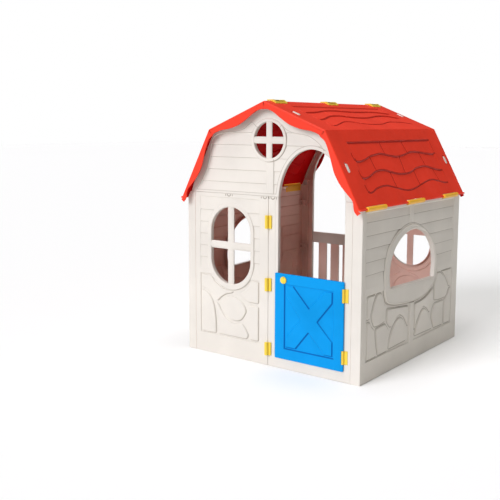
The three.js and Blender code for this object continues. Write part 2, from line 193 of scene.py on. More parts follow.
def depth_inside(points, loop, reach):
    """How far inside the loop each point lies, 0 outside it, and at most reach."""
    low, high = loop.min(0), loop.max(0)
    near = np.all((points > low) & (points < high), axis=1)
    out = np.zeros(len(points))
    some = points[near]
    if len(some):
        gap = np.where(inside(some, loop), distance(some, loop), 0)
        out[near] = np.minimum(gap, reach)
    return out


def smooth(t):
    t = np.clip(t, 0, 1)
    return t * t * (3 - 2 * t)


STEPS = (0.0, 0.2, 0.5, 0.8, 1.0)


class Sheet:
    """A moulded sheet drawn in its own plane: u across, v up and h outwards."""

    def __init__(self, outline, holes=()):
        self.outline = anticlockwise(outline)
        self.holes = [anticlockwise(hole) for hole in holes]
        self.guides = [(loop, True) for loop in [self.outline, *self.holes]]
        self.terms = []
        self.painted_shades = []
        self.walls = []
        self.highest = 100.0

    def guide(self, line, closed=True):
        """Makes the mesh follow a line."""
        self.guides.append((np.array(line, float), closed))

    def rim(self, hole=0):
        """The edge of a hole, run so that the sheet lies on its left."""
        return self.holes[hole][::-1].copy()

    def level(self, loop, height, slope=3.0, dome=0.0, reach=22.0):
        """Raises what is inside the loop, with a soft step along its edge and a slight dome."""
        loop = anticlockwise(loop)
        for t in STEPS:
            self.guide(offset(loop, t * slope))
        if dome:
            for t in (0.45, 0.75, 1.0):
                self.guide(offset(loop, t * reach))

        def term(points):
            gap = depth_inside(points, loop, max(slope, reach))
            out = height * smooth(gap / slope)
            if dome:
                t = np.clip(gap / reach, 0, 1)
                out += dome * (1 - (1 - t) ** 2)
            return out

        self.terms.append(term)

    def ring_ends(self, line, radius):
        """Keeps what happens at the ends of a line close to them."""
        for end in (line[0], line[-1]):
            self.guide(stadium(*end, radius, radius, steps=3))

    def painted_shade(self, line, width, amount=1.0, closed=False):
        """Paints shade along a line where the plastic lies in a tight corner, darkening the colour there."""
        line = np.array(line, float)
        for side in (-1, 0, 1):
            self.guide(offset(line, side * width, closed), closed)
        if not closed:
            self.ring_ends(line, width)
        self.painted_shades.append(lambda points: amount * (1 - smooth(distance(points, line, closed) / width)))

    def shade_edges(self, loop, width, amount, towards=(1.0, -0.6)):
        """Darkens the parts of a closed step that face away from the light."""
        loop = anticlockwise(loop)
        ahead = np.roll(loop, -1, 0) - loop
        outwards = np.stack([ahead[:, 1], -ahead[:, 0]], 1)
        outwards /= np.linalg.norm(outwards, axis=1)[:, None] + 1e-9
        aim = np.array(towards) / np.linalg.norm(towards)
        facing = np.clip(outwards @ aim * 1.3, 0, 1)
        low, high = loop.min(0) - width, loop.max(0) + width
        for side in (-1, 1):
            self.guide(offset(loop, side * width))

        def painted_shade(points):
            out = np.zeros(len(points))
            near = np.all((points > low) & (points < high), axis=1)
            some = points[near]
            best = np.zeros(len(some))
            for i in range(len(loop)):
                if facing[i] > 0:
                    gap = distance(some, loop[[i, (i + 1) % len(loop)]], False)
                    best = np.maximum(best, facing[i] * (1 - smooth(gap / width)))
            out[near] = best * amount
            return out

        self.painted_shades.append(painted_shade)

    def groove(self, line, width, deep, closed=False, painted_shade=0.0):
        line = np.array(line, float)
        # Painted shade along the groove, if an amount is given.
        if painted_shade:
            self.painted_shade(line, width * 0.75, painted_shade, closed)
        half = width / 2
        for side in (-1, -0.55, 0, 0.55, 1):
            self.guide(offset(line, side * half, closed), closed)
        if not closed:
            self.ring_ends(line, half)
        self.terms.append(lambda points: -deep * (1 - smooth(distance(points, line, closed) / half)))

    def sunk(self, region, deep, slope=3.0, without=(), boards=(), tilt=0.0, painted_shade=0.0):
        """Sinks a region, apart from some loops in it. boards are the lower edges of lapped boards, with
        painted shade just under each edge if an amount is given.
        """
        region = anticlockwise(region)
        kept = [anticlockwise(loop) for loop in without]
        for t in STEPS:
            self.guide(offset(region, t * slope))
            for loop in kept:
                self.guide(offset(loop, -t * slope))
        low, high = region.min(0), region.max(0)
        knots, values = [low[1] - 60], [0.0]
        edges = sorted(boards)
        for i, edge in enumerate(edges):
            top = edges[i + 1] if i + 1 < len(edges) else high[1] + 8
            knots += [edge - 0.8, edge + 0.8, top - 0.8]
            values += [0.0, tilt, 0.0]
            for v in (edge - 3.4, edge - 0.8, edge + 0.8, edge + 2.0):
                for span in spans(region, v):
                    self.guide([(span[0], v), (span[1], v)], False)

        def term(points):
            mask = smooth(depth_inside(points, region, slope) / slope)
            for loop in kept:
                near = mask > 0
                some = points[near]
                gap = np.where(inside(some, loop), 0, distance(some, loop))
                mask[near] *= smooth(gap / slope)
            lift = np.interp(points[:, 1], knots, values) if edges else 0.0
            return (lift - deep) * mask

        # Painted shade under each board's lower edge, kept off the loops that stay up.
        def dark(points):
            out = np.zeros(len(points))
            for edge in edges:
                out = np.maximum(out, 1 - smooth(np.abs(points[:, 1] - edge + 0.8) / 2.6))
            clear = smooth(depth_inside(points, region, slope) / slope)
            for loop in kept:
                clear[inside(points, loop)] = 0
            return out * clear * painted_shade

        self.terms.append(term)
        if painted_shade:
            self.painted_shades.append(dark)

    def soften(self, line, radius, closed=True, drop=None):
        """Rounds off the edge along a line of the outline, to a drop of its own if need be."""
        line = np.array(line, float)
        share = 1.0 if drop is None else drop / radius
        for t in (0.08, 0.3, 0.62, 1.0):
            self.guide(offset(line, t * radius, closed), closed)

        def term(points):
            gap = np.clip(distance(points, line, closed), 0, radius)
            return share * (np.sqrt(radius**2 - (radius - gap) ** 2) - radius)

        self.terms.append(term)

    def wall(self, line, width, deep, closed=True):
        """A wall behind the sheet along a line of the outline, down to a depth."""
        line = np.array(line, float)
        self.guide(offset(line, width, closed), closed)
        self.walls.append((lambda points: distance(points, line, closed) < width, deep))

    def walls_all(self, width, deep):
        self.wall(self.outline, width, deep)
        for hole in range(len(self.holes)):
            self.wall(self.rim(hole), width, deep)

    def within(self, points):
        keep = inside(points, self.outline)
        for hole in self.holes:
            keep &= ~inside(points, hole)
        return keep

    def build(self, place, skin=SKIN, flat_back=None, limit=None):
        """Vertices in 3D, faces, which faces look inwards, and how dark each vertex is."""
        seeds, links = [], []
        for line, closed in self.guides:
            first = len(seeds)
            seeds += [Vector(p) for p in line]
            count = len(line)
            links += [(first + i, first + i + 1) for i in range(count - 1)]
            if closed:
                links.append((first + count - 1, first))
        verts, _, tris, _, _, _ = delaunay_2d_cdt(seeds, links, [], 0, 0.02, False)
        points = np.array([tuple(v) for v in verts])
        tris = np.array([t for t in tris if len(t) == 3])
        a, b, c = (points[tris[:, k]] for k in range(3))
        area = (b[:, 0] - a[:, 0]) * (c[:, 1] - a[:, 1]) - (b[:, 1] - a[:, 1]) * (c[:, 0] - a[:, 0])
        middles = (a + b + c) / 3
        keep = self.within(middles) & (np.abs(area) > 1e-6)
        tris, middles, area = tris[keep], middles[keep], area[keep]
        tris[area < 0] = tris[area < 0][:, ::-1]
        heights = sum((term(points) for term in self.terms), np.zeros(len(points)))
        heights = np.minimum(heights, self.highest)
        # How much painted shade each vertex gets, from all the marks.
        darkness = np.zeros(len(points))
        for painted_shade in self.painted_shades:
            darkness = np.maximum(darkness, painted_shade(points))
        kinds = np.zeros(len(tris), int)
        for k, (test, _) in enumerate(self.walls):
            kinds[test(middles) & (kinds == 0)] = k + 1
        depths = [None] + [deep for _, deep in self.walls]

        rows, dark, index = [], [], {}

        def vertex(i, kind):
            key = (i, kind)
            if key not in index:
                if kind < 0:
                    h = heights[i]
                elif kind == 0:
                    h = heights[i] - skin if flat_back is None else -flat_back
                    if limit is not None:
                        h = min(max(h, -limit), heights[i] - 1.2)
                else:
                    h = -depths[kind]
                index[key] = len(rows)
                rows.append((points[i][0], points[i][1], h))
                dark.append(darkness[i] if kind < 0 else 0.0)
            return index[key]

        owner = {}
        for t, tri in enumerate(tris):
            for k in range(3):
                owner[(tri[k], tri[(k + 1) % 3])] = t
        faces, inner = [], []
        for t, (i, j, k) in enumerate(tris):
            kind = kinds[t]
            faces.append((vertex(i, -1), vertex(j, -1), vertex(k, -1)))
            inner.append(0)
            faces.append((vertex(k, kind), vertex(j, kind), vertex(i, kind)))
            inner.append(1)
            for p, q in ((i, j), (j, k), (k, i)):
                other = owner.get((q, p))
                if other is None:
                    faces.append((vertex(p, -1), vertex(p, kind), vertex(q, kind), vertex(q, -1)))
                    inner.append(0)
                elif kind > 0 and kinds[other] != kind:
                    beside = kinds[other]
                    if beside == 0 or depths[beside] < depths[kind]:
                        faces.append((vertex(p, beside), vertex(p, kind), vertex(q, kind), vertex(q, beside)))
                        inner.append(1)
        where = place(np.array(rows))
        return where, faces, inner, np.array(dark)


def spans(loop, v):
    """The stretches of the horizontal line at v that lie inside the loop."""
    xs = []
    for i in range(len(loop)):
        (x0, y0), (x1, y1) = loop[i - 1], loop[i]
        if (y0 > v) != (y1 > v):
            xs.append(x0 + (x1 - x0) * (v - y0) / (y1 - y0))
    xs.sort()
    return [(xs[i] + 0.01, xs[i + 1] - 0.01) for i in range(0, len(xs) - 1, 2)]


# ---- Where each plane lies ----


def facing_front(y):
    return lambda p: np.stack([p[:, 0], y - p[:, 2], p[:, 1]], 1)


def facing_back(y):
    """Drawn as seen from behind, so u runs towards -X."""
    return lambda p: np.stack([-p[:, 0], y + p[:, 2], p[:, 1]], 1)


def facing_right(x):
    return lambda p: np.stack([x + p[:, 2], p[:, 0], p[:, 1]], 1)


def on_slope(start, end):
    """u is along Y, and v runs up the slope."""
    along = (end - start) / np.linalg.norm(end - start)
    out = np.array([along[1], -along[0]])

    def place(p):
        x = start[0] + p[:, 1] * along[0] + p[:, 2] * out[0]
        z = start[1] + p[:, 1] * along[1] + p[:, 2] * out[1]
        return np.stack([x, p[:, 0], z], 1)

    return place


LOWER_LENGTH = float(np.linalg.norm(KNEE - EAVE))
UPPER_LENGTH = float(np.linalg.norm(RIDGE - KNEE))


# ---- Solid bits ----


def from_bmesh(bm):
    """Vertices and faces. The faces are sorted, because bmesh gives them in another order each run."""
    bm.verts.index_update()
    verts = np.array([tuple(v.co) for v in bm.verts])
    faces = []
    for face in bm.faces:
        ring = [v.index for v in face.verts]
        first = ring.index(min(ring))
        faces.append((*ring[first:], *ring[:first]))
    bm.free()
    return verts, sorted(faces)


def bevelled(bm, width, segments):
    bm.normal_update()
    if width > 0:
        sharp = [e for e in bm.edges if e.is_manifold and e.calc_face_angle() > 0.6]
        bmesh.ops.bevel(
            bm, geom=sharp, offset=width, segments=segments, profile=0.5, affect="EDGES", clamp_overlap=True
        )
    return from_bmesh(bm)


def block(x0, x1, y0, y1, z0, z1, bevel=1.0, segments=2):
    bm = bmesh.new()
    bmesh.ops.create_cube(bm, size=1)
    for v in bm.verts:
        v.co = (
            x0 + (v.co.x + 0.5) * (x1 - x0),
            y0 + (v.co.y + 0.5) * (y1 - y0),
            z0 + (v.co.z + 0.5) * (z1 - z0),
        )
    return bevelled(bm, bevel, segments)


def rod(start, end, radius, bevel=0.8, sides=28, end_radius=None):
    a, b = Vector(start), Vector(end)
    bm = bmesh.new()
    end_radius = radius if end_radius is None else end_radius
    bmesh.ops.create_cone(
        bm, cap_ends=True, segments=sides, radius1=radius, radius2=end_radius, depth=(b - a).length
    )
    turn = (b - a).to_track_quat("Z", "Y").to_matrix().to_4x4()
    bm.transform(Matrix.Translation((a + b) / 2) @ turn)
    return bevelled(bm, bevel, 2)


def prism(points, place, low, high, bevel=0.8, segments=2):
    """An outline in a plane, given thickness between two heights above it."""
    bm = bmesh.new()
    ring = [bm.verts.new((p[0], p[1], low)) for p in anticlockwise(points)]
    base = bm.faces.new(ring)
    top = bmesh.ops.extrude_face_region(bm, geom=[base])["geom"]
    for v in top:
        if isinstance(v, bmesh.types.BMVert):
            v.co.z = high
    bmesh.ops.recalc_face_normals(bm, faces=bm.faces)
    verts, faces = bevelled(bm, bevel, segments)
    return place(verts), faces


class Piece:
    """Meshes of one moulded piece, in millimetres. Material 0 is its outside and 1 its inside, whose colour
    has painted shade in it.
    """

    def __init__(self):
        self.verts, self.faces, self.kinds, self.dark = [], [], [], []

    def add(self, verts, faces, kinds=0, dark=None):
        first = len(self.verts)
        self.verts += [tuple(v) for v in verts]
        self.faces += [tuple(first + i for i in f) for f in faces]
        self.kinds += list(np.broadcast_to(kinds, len(faces)))
        self.dark += list(np.zeros(len(verts)) if dark is None else dark)
        return self

    def sheet(self, sheet, place, **options):
        return self.add(*sheet.build(place, **options))

    def turned(self):
        """The same moulding turned half round."""
        other = Piece()
        other.verts = [(-x, -y, z) for x, y, z in self.verts]
        other.faces, other.kinds, other.dark = self.faces, self.kinds, self.dark
        return other

    def make(self, name, body, nodes, slot, materials=None):
        """The finished object, which rides on a body and stands in for CAD nodes."""
        mesh = bpy.data.meshes.new(name)
        mesh.from_pydata(np.array(self.verts) * 0.001, [], self.faces)
        for material in materials or MATERIALS[slot]:
            mesh.materials.append(material)
        mesh.polygons.foreach_set("material_index", np.array(self.kinds, np.int32))
        mesh.polygons.foreach_set("use_smooth", np.ones(len(self.faces), bool))
        dark = mesh.attributes.new("dark", "FLOAT", "POINT")
        dark.data.foreach_set("value", np.array(self.dark, np.float32))
        mesh.validate()
        mesh.set_sharp_from_angle(angle=math.radians(SHARP_ANGLE))
        mesh.update()
        obj = bpy.data.objects.new(name, mesh)
        bpy.context.scene.collection.objects.link(obj)
        normals = obj.modifiers.new("flat_faces", "WEIGHTED_NORMAL")
        normals.keep_sharp = True
        normals.weight = 80
        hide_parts(*nodes)
        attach(obj, body)


def make_pair(piece, slot, *twins, materials=None):
    """Makes a moulding, and the same one turned half round.

    A twin is its name, its body and its CAD node, which has the body's name if none is given.
    """
    for moulding, (name, body, *nodes) in zip((piece, piece.turned()), twins):
        moulding.make(name, body, nodes or [body], slot, materials)


# ---- Materials ----


def put(node, values):
    """Sets a node's sockets by name."""
    for socket, value in values.items():
        node.inputs[socket].default_value = value
    return node


def moulded(name, colour, rough, grain=0.35, shade=0.06, groove=0.25, spec=0.45, painted_shade_tint=(0.45, 0.42, 0.40)):
    """Moulded plastic: a fine grain, faint flow clouds, and grooves darkened with painted shade."""
    material = bpy.data.materials.new(name)
    material.use_nodes = True
    nodes, links = material.node_tree.nodes, material.node_tree.links
    shader = put(nodes["Principled BSDF"], {"Specular IOR Level": spec})
    where = nodes.new("ShaderNodeTexCoord")

    def noise(scale, detail, roughness=0.5, stretch=(1, 1, 1)):
        mapping = put(nodes.new("ShaderNodeMapping"), {"Scale": stretch})
        texture = nodes.new("ShaderNodeTexNoise")
        put(texture, {"Scale": scale, "Detail": detail, "Roughness": roughness})
        links.new(where.outputs["Object"], mapping.inputs["Vector"])
        links.new(mapping.outputs["Vector"], texture.inputs["Vector"])
        return texture.outputs["Fac"]

    def ramp(value, low, high, out_low, out_high):
        node = nodes.new("ShaderNodeMapRange")
        node.interpolation_type = "SMOOTHSTEP"
        links.new(value, node.inputs["Value"])
        put(node, {"From Min": low, "From Max": high, "To Min": out_low, "To Max": out_high})
        return node.outputs["Result"]

    def mix(factor, a, b):
        node = nodes.new("ShaderNodeMix")
        node.data_type = "RGBA"
        for socket, value in ((node.inputs[0], factor), (node.inputs[6], a), (node.inputs[7], b)):
            if isinstance(value, bpy.types.NodeSocket):
                links.new(value, socket)
            elif isinstance(value, (int, float)):
                socket.default_value = value
            else:
                socket.default_value = (*value, 1)
        return node.outputs[2]

    base = np.array(colour, float)
    lighter = np.clip(base * (1 + shade) + shade * 0.02, 0, 1)
    darker = base * (1 - shade)
    clouds = mix(ramp(noise(5.0, 4), 0.35, 0.65, 0, 1), tuple(darker), tuple(lighter))
    streaks = ramp(noise(9.0, 3, 0.6, (1, 1, 0.22)), 0.45, 0.75, 0, 0.35)
    clouds = mix(streaks, clouds, tuple(base * (1 - 0.5 * shade)))
    # Painted shade: the dark mark pulls the colour towards a darker tint, so grooves, creases and steps
    # facing away from the light look shaded; groove sets how far.
    dark = nodes.new("ShaderNodeAttribute")
    dark.attribute_name = "dark"
    painted_shade_amount = ramp(dark.outputs["Fac"], 0.1, 0.9, 0.0, groove)
    links.new(mix(painted_shade_amount, clouds, tuple(base * np.array(painted_shade_tint))), shader.inputs["Base Color"])

    speck = noise(420.0, 2, 0.6)
    rough_clouds = ramp(noise(14.0, 5, 0.65), 0.3, 0.7, rough - 0.06, rough + 0.08)
    links.new(rough_clouds, shader.inputs["Roughness"])
    bump = put(nodes.new("ShaderNodeBump"), {"Strength": grain, "Distance": 0.0004})
    links.new(speck, bump.inputs["Height"])
    sink = put(nodes.new("ShaderNodeBump"), {"Strength": 0.25, "Distance": 0.0016})
    links.new(noise(16.0, 2, 0.4), sink.inputs["Height"])
    links.new(bump.outputs["Normal"], sink.inputs["Normal"])
    links.new(sink.outputs["Normal"], shader.inputs["Normal"])
    return material


# Each plastic's tint and groove set the colour and strength of its painted shade.
CREAM = moulded(
    "cream_plastic", (0.715, 0.67, 0.60), 0.52, shade=0.035, groove=0.85, spec=0.25, painted_shade_tint=(0.42, 0.39, 0.35)
)
# The inside faces are the same cream plastic; this browner copy paints in the shade inside the house and the
# red light bounced off the roof.
CREAM_INSIDE_PAINTED_LIGHT = moulded("cream_plastic_inside_painted_light", (0.80, 0.56, 0.47), 0.6, spec=0.2)
RED = moulded(
    "red_plastic", (0.85, 0.045, 0.018), 0.5, shade=0.05, groove=0.85, spec=0.2, painted_shade_tint=(0.45, 0.25, 0.25)
)
# The roof's inside is the same red plastic; this darker copy paints in the shade under the roof.
RED_INSIDE_PAINTED_SHADE = moulded("red_plastic_inside_painted_shade", (0.60, 0.0, 0.001), 0.6, spec=0.05)
BLUE = moulded("blue_plastic", (0.0, 0.275, 0.67), 0.45, groove=0.85, spec=0.08, painted_shade_tint=(0.3, 0.30, 0.5))
# Its painted shade tint is near black, for the shadowed slot in the ridge clips.
YELLOW = moulded(
    "yellow_plastic", (0.84, 0.60, 0.06), 0.38, grain=0.2, groove=0.92, spec=0.3, painted_shade_tint=(0.12, 0.1, 0.1)
)
# The eave clips are the same yellow plastic; this orange copy paints in the red light bounced off the roof
# onto them.
YELLOW_PAINTED_RED_BOUNCE = moulded("yellow_plastic_painted_red_bounce", (0.95, 0.50, 0.035), 0.4, grain=0.2, groove=0.9, spec=0.3)
PIN = moulded("pin_plastic", (0.62, 0.58, 0.5), 0.4, grain=0.2)

# The second material of a slot goes on inside faces and carries painted shade and bounce light.
MATERIALS = {"cream": (CREAM, CREAM_INSIDE_PAINTED_LIGHT), "red": (RED, RED_INSIDE_PAINTED_SHADE), "blue": (BLUE,), "yellow": (YELLOW,)}


# ---- Side walls ----

SIDE_OPENING = np.vstack(
    [
        [(-216, 342), (190, 330)],
        curve([
            (190, 330), (199, 390), (188, 446), (156, 494), (108, 532), (50, 554), (-10, 562), (-72, 556),
            (-132, 534), (-182, 498), (-213, 452), (-224, 398), (-216, 342),
        ])[1:-1],
    ]
)
SIDE_FRAME = np.vstack(
    [
        curve([
            (222, 322), (216, 420), (192, 468), (143, 518), (88, 553), (30, 577), (-39, 590), (-110, 581),
            (-182, 553), (-243, 503), (-270, 427), (-268, 330),
        ]),
        curve([
            (-262, 316), (-243, 287), (-173, 267), (-54, 255), (40, 253), (110, 261), (182, 287), (222, 322),
        ])[:-1],
    ]
)
SIDE_BOARDS = (371, 423, 474, 525, 576, 628)
SIDE_STONES = [
    [(-402, 338), (-332, 338), (-353, 308), (-374, 262), (-374, 250), (-402, 246)],
    [(-322, 338), (-288, 338), (-276, 318), (-262, 290), (-247, 272), (-247, 222), (-254, 215), (-300, 208),
     (-339, 209), (-356, 233), (-366, 262), (-346, 304)],
    [(-402, 236), (-379, 238), (-362, 212), (-341, 199), (-334, 150), (-317, 88), (-402, 86)],
    [(-330, 199), (-252, 206), (-228, 184), (-213, 160), (-228, 88), (-308, 87), (-324, 148)],
    [(-219, 92), (-214, 128), (-188, 172), (-152, 201), (-125, 208), (-96, 196), (-68, 160), (-58, 130),
     (-57, 96)],
    [(-238, 264), (-173, 256), (-54, 243), (-46, 236), (-46, 150), (-60, 170), (-90, 206), (-125, 219),
     (-162, 209), (-200, 178), (-220, 192), (-238, 212)],
    [(13, 241), (60, 243), (112, 249), (150, 261), (196, 284), (198, 226), (180, 204), (166, 170),
     (140, 196), (103, 214), (74, 202), (40, 168), (16, 120), (13, 150)],
    [(18, 96), (26, 128), (50, 164), (80, 193), (103, 203), (132, 190), (160, 154), (186, 118), (200, 94)],
    [(208, 300), (226, 318), (228, 340), (264, 340), (300, 320), (338, 276), (352, 250), (344, 224),
     (322, 213), (262, 213), (208, 221)],
    [(278, 341), (387, 341), (387, 262), (366, 256), (356, 274), (334, 300), (306, 328)],
    [(212, 92), (306, 90), (310, 203), (256, 204), (214, 204), (192, 178), (184, 148), (200, 116)],
    [(318, 90), (387, 88), (387, 251), (366, 246), (354, 226), (332, 206), (318, 202)],
]


def side_wall():
    end, shoulder = HALF_DEPTH, HALF_DEPTH - 3
    outline = [(end, 0), (end, SEAM), (shoulder, SEAM), (shoulder, WALL_TOP)]
    for y in reversed(EAVE_STATIONS):
        notch = EAVE_CLIP_HALF + 1
        outline += [(y + notch, WALL_TOP), (y + notch, 669), (y - notch, 669), (y - notch, WALL_TOP)]
    outline += [(-shoulder, WALL_TOP), (-shoulder, SEAM), (-end, SEAM), (-end, 0)]
    sheet = Sheet(outline, [SIDE_OPENING])
    sheet.soften([(-end, SEAM), (-end, 0), (end, 0), (end, SEAM)], 3.0, closed=False)
    sheet.soften(sheet.rim(), 3.0)
    sheet.guide([(-end, WALL_TOP), (end, WALL_TOP)], False)
    sheet.terms.append(lambda p: -np.maximum(p[:, 1] - WALL_TOP, 0) * 11 / 21)

    upper_strip, lower_strip = box2(-58, -20, 560, 690), box2(-36, 3, 60, 300)
    clapboards, stonework = box2(-421, 389, 371, 666, 5), box2(-409, 393, 80, 346, 5)
    # Painted shade under each board's lower edge.
    sheet.sunk(
        clapboards, 4.0, slope=4, without=[SIDE_FRAME, upper_strip], boards=SIDE_BOARDS, tilt=3.8, painted_shade=1.0
    )
    sheet.sunk(stonework, 5.0, slope=4.0, without=[SIDE_FRAME, lower_strip])
    for stone in SIDE_STONES:
        loop = rounded(stone, 12)
        sheet.level(loop, 4.4, slope=4.4, dome=0.9, reach=18)
        # Painted shade round each stone's outline.
        sheet.painted_shade(offset(anticlockwise(loop), -1.5), 3.6, 0.85, closed=True)
        sheet.shade_edges(loop, 3.8, 1.0)

    surround = anticlockwise(SIDE_FRAME)
    sheet.level(SIDE_FRAME, 0.8, slope=4.5)
    sheet.shade_edges(SIDE_FRAME, 4.0, 1.0, towards=(0.4, -1.0))
    sheet.groove(offset(surround, 6), 6.5, -3.2, closed=True)
    sheet.groove(offset(sheet.holes[0], -7), 7, -2.2, closed=True)
    # Painted shade just inside the frame's edge.
    sheet.painted_shade(offset(surround, -2.5), 3.0, 0.7, closed=True)
    sheet.level(box2(-58, -20, 590, 700), 1.8, slope=4)
    sheet.level(box2(-36, 3, 71, 254), 1.8, slope=4)
    sheet.level(box2(389, 440, 350, 700, 0), 0.0, slope=2)
    sheet.groove([(396, 346), (396, 668)], 10, -2.0)
    # A groove near the wall's back end, with light painted shade in it.
    sheet.groove([(-425, 80), (-425, 672)], 5, 1.6, painted_shade=0.35)
    sheet.highest = 4.2

    sheet.wall([(-end, SEAM), (-end, 0)], RIM, TRAY_DEPTH, closed=False)
    sheet.wall([(end, 0), (end, SEAM)], RIM, TRAY_DEPTH, closed=False)
    sheet.wall([(-end, 0), (end, 0)], RIM, FOOT_DEPTH, closed=False)
    sheet.wall(sheet.rim(), RIM, SILL_DEPTH)
    sheet.wall([(shoulder, WALL_TOP), (-shoulder, WALL_TOP)], RIM, FOOT_DEPTH, closed=False)
    piece = Piece().sheet(sheet, facing_right(HALF_WIDTH), limit=6.6)
    for y in (-CORNER_Y, CORNER_Y):
        for station in CORNER_STATIONS:
            for z in (station - 14.4, station + 6.4):
                piece.add(*rod((CORNER_X, y, z), (CORNER_X, y, z + 8), EYE_RADIUS), 1)
                piece.add(*block(CORNER_X, 435, y - EYE_RADIUS, y + EYE_RADIUS, z, z + 8), 1)
    return piece


make_pair(side_wall(), "cream", ("wall_right", "right_wall"), ("wall_left", "left_wall"))


# ---- Front and back panels ----


def ears(side):
    """Eyes that reach from a panel's outer end into the tray."""
    piece = Piece()
    for station in CORNER_STATIONS:
        x, low, high = side * CORNER_X, station - 6, station + 6
        x0, x1 = sorted((side * (PANEL_END - 3), x))
        piece.add(*rod((x, -CORNER_Y, low), (x, -CORNER_Y, high), EYE_RADIUS), 1)
        piece.add(*block(x0, x1, -CORNER_Y - EYE_RADIUS, -CORNER_Y, low, high), 1)
    return piece


def joined(*pieces):
    whole = Piece()
    for piece in pieces:
        whole.add(piece.verts, piece.faces, piece.kinds, piece.dark)
    return whole


def crossbars(x, z, half_width, half_height, bar, place, deep=8.0):
    """Crossed window bars with sloping sides."""
    w, h = half_width + 3, half_height + 3
    left, right, low, high = x - bar, x + bar, z - bar, z + bar
    sides = [
        [(right, z - h), (right, low), (x + w, low)],
        [(x + w, high), (right, high), (right, z + h)],
        [(left, z + h), (left, high), (x - w, high)],
        [(x - w, low), (left, low), (left, z - h)],
    ]
    sheet = Sheet([(left, z - h), *sides[0], *sides[1], *sides[2], *sides[3][:2]])
    lines = [np.array(side, float) for side in sides]
    slope = bar * 0.62
    for line in lines:
        for t in (0.25, 0.85, 1.15):
            sheet.guide(offset(line, t * slope, False), False)

    def term(points):
        gap = np.min([distance(points, line, False) for line in lines], axis=0)
        return -4.2 * (1 - np.clip(gap / slope, 0, 1)) ** 1.15

    sheet.terms.append(term)
    return Piece().sheet(sheet, place, flat_back=deep)


WINDOW_RING = stadium(-198, 480.5, 125, 187, steps=16)
FRONT_BOARDS = (371, 423, 475, 527, 579, 631)
FRONT_STONES = [
    [(-362, 90), (-279, 90), (-278, 110), (-281, 160), (-288, 205), (-299, 236), (-318, 262), (-338, 275),
     (-362, 277)],
    [(-362, 287), (-336, 284), (-308, 268), (-284, 244), (-268, 236), (-252, 254), (-226, 271), (-192, 280),
     (-184, 286), (-200, 292), (-240, 296), (-284, 318), (-306, 346), (-362, 346)],
    [(-257, 228), (-246, 247), (-222, 262), (-195, 269), (-168, 265), (-140, 252), (-121, 230), (-113, 210),
     (-124, 190), (-138, 172), (-152, 164), (-172, 161), (-197, 163), (-224, 180), (-246, 206)],
    [(-106, 252), (-49, 252), (-49, 346), (-84, 346), (-98, 328), (-118, 306), (-138, 292), (-150, 281),
     (-126, 262)],
    [(-268, 92), (-112, 91), (-101, 108), (-116, 134), (-136, 158), (-156, 152), (-192, 151), (-226, 168),
     (-250, 196), (-266, 224), (-278, 232), (-277, 180), (-269, 130)],
    [(-98, 92), (-49, 92), (-49, 240), (-104, 240), (-110, 214), (-124, 182), (-128, 162), (-104, 132),
     (-91, 108)],
]


def snap_marks(sheet, xs):
    """Small U-shaped catches moulded into the top edge, where the gable's tongues drop in."""
    for x in xs:
        catch = curve([(x - 9, 704), (x - 8, 699), (x, 695), (x + 8, 699), (x + 9, 704)], step=3)
        # Each catch is a shallow groove with painted shade in it.
        sheet.groove(catch, 5.0, 1.6, painted_shade=1.0)
        for side in (-1, 1):
            sheet.groove([(x + side * 18, 697), (x + side * 18, 703)], 5.0, 1.4, painted_shade=1.0)


def window_panel():
    sheet = Sheet(box2(-PANEL_END, -0.5, 0, SEAM), [stadium(*WINDOW, steps=16)])
    sheet.soften(sheet.outline, 1.2)
    sheet.soften(sheet.rim(), 4.0)
    clapboards, stonework = box2(-368, -42, 369, 690, 4), box2(-368, -42, 84, 352, 4)
    # Painted shade under each board's lower edge.
    sheet.sunk(
        clapboards, 3.6, slope=4.0, without=[WINDOW_RING], boards=FRONT_BOARDS, tilt=3.2, painted_shade=0.55
    )
    sheet.sunk(stonework, 4.6, slope=4.0, without=[WINDOW_RING])
    for stone in FRONT_STONES:
        sheet.level(rounded(stone, 10), 4.2, slope=4.2, dome=0.8, reach=16)
        sheet.shade_edges(rounded(stone, 10), 3.4, 0.8)
    sheet.level(WINDOW_RING, 1.6, slope=4.0)
    sheet.shade_edges(WINDOW_RING, 3.0, 0.8)
    snap_marks(sheet, (-206, -18))
    sheet.walls_all(RIM, PANEL_DEPTH)
    piece = Piece().sheet(sheet, facing_front(-HALF_DEPTH))
    return joined(piece, crossbars(*WINDOW, 16, facing_front(-HALF_DEPTH - BARS_PROUD)), ears(-1))


def doorway_panel(hinged):
    left, right = DOORWAY
    inner, outer = (left + 12, right - 12), (left - 12, right + 12)
    outline = [(0.5, 0), (PANEL_END, 0), (PANEL_END, SEAM), (right, SEAM), (right, 50), (left, 50)]
    sheet = Sheet([*outline, (left, SEAM), (0.5, SEAM)])
    sheet.soften(sheet.outline, 2.4)
    frame_line = [(outer[0], -9), (outer[1], -9), (outer[1], 720), (inner[1], 720), (inner[1], 62)]
    sheet.level([*frame_line, (inner[0], 62), (inner[0], 720), (outer[0], 720)], 0.0, 3)
    sheet.groove([(36.5, 720), (36.5, 40)], 4, 1.3)
    if hinged:
        for z in DOOR_STATIONS:
            sheet.level(box2(350, 382.4, z - 27.6, z + 27.6), -7.0, slope=0.5)
    snap_marks(sheet, (22,))
    sheet.walls_all(RIM, PANEL_DEPTH)
    return joined(Piece().sheet(sheet, facing_front(-HALF_DEPTH)), ears(1))


make_pair(
    window_panel(),
    "cream",
    ("panel_front_left", "front_left_panel"),
    ("panel_back_right", "back_right_panel"),
)
doorway_panel(True).make("panel_front_right", "front_right_panel", ["front_right_panel"], "cream")
doorway_panel(False).turned().make("panel_back_left", "back_left_panel", ["back_left_panel"], "cream")


# ---- Gables ----


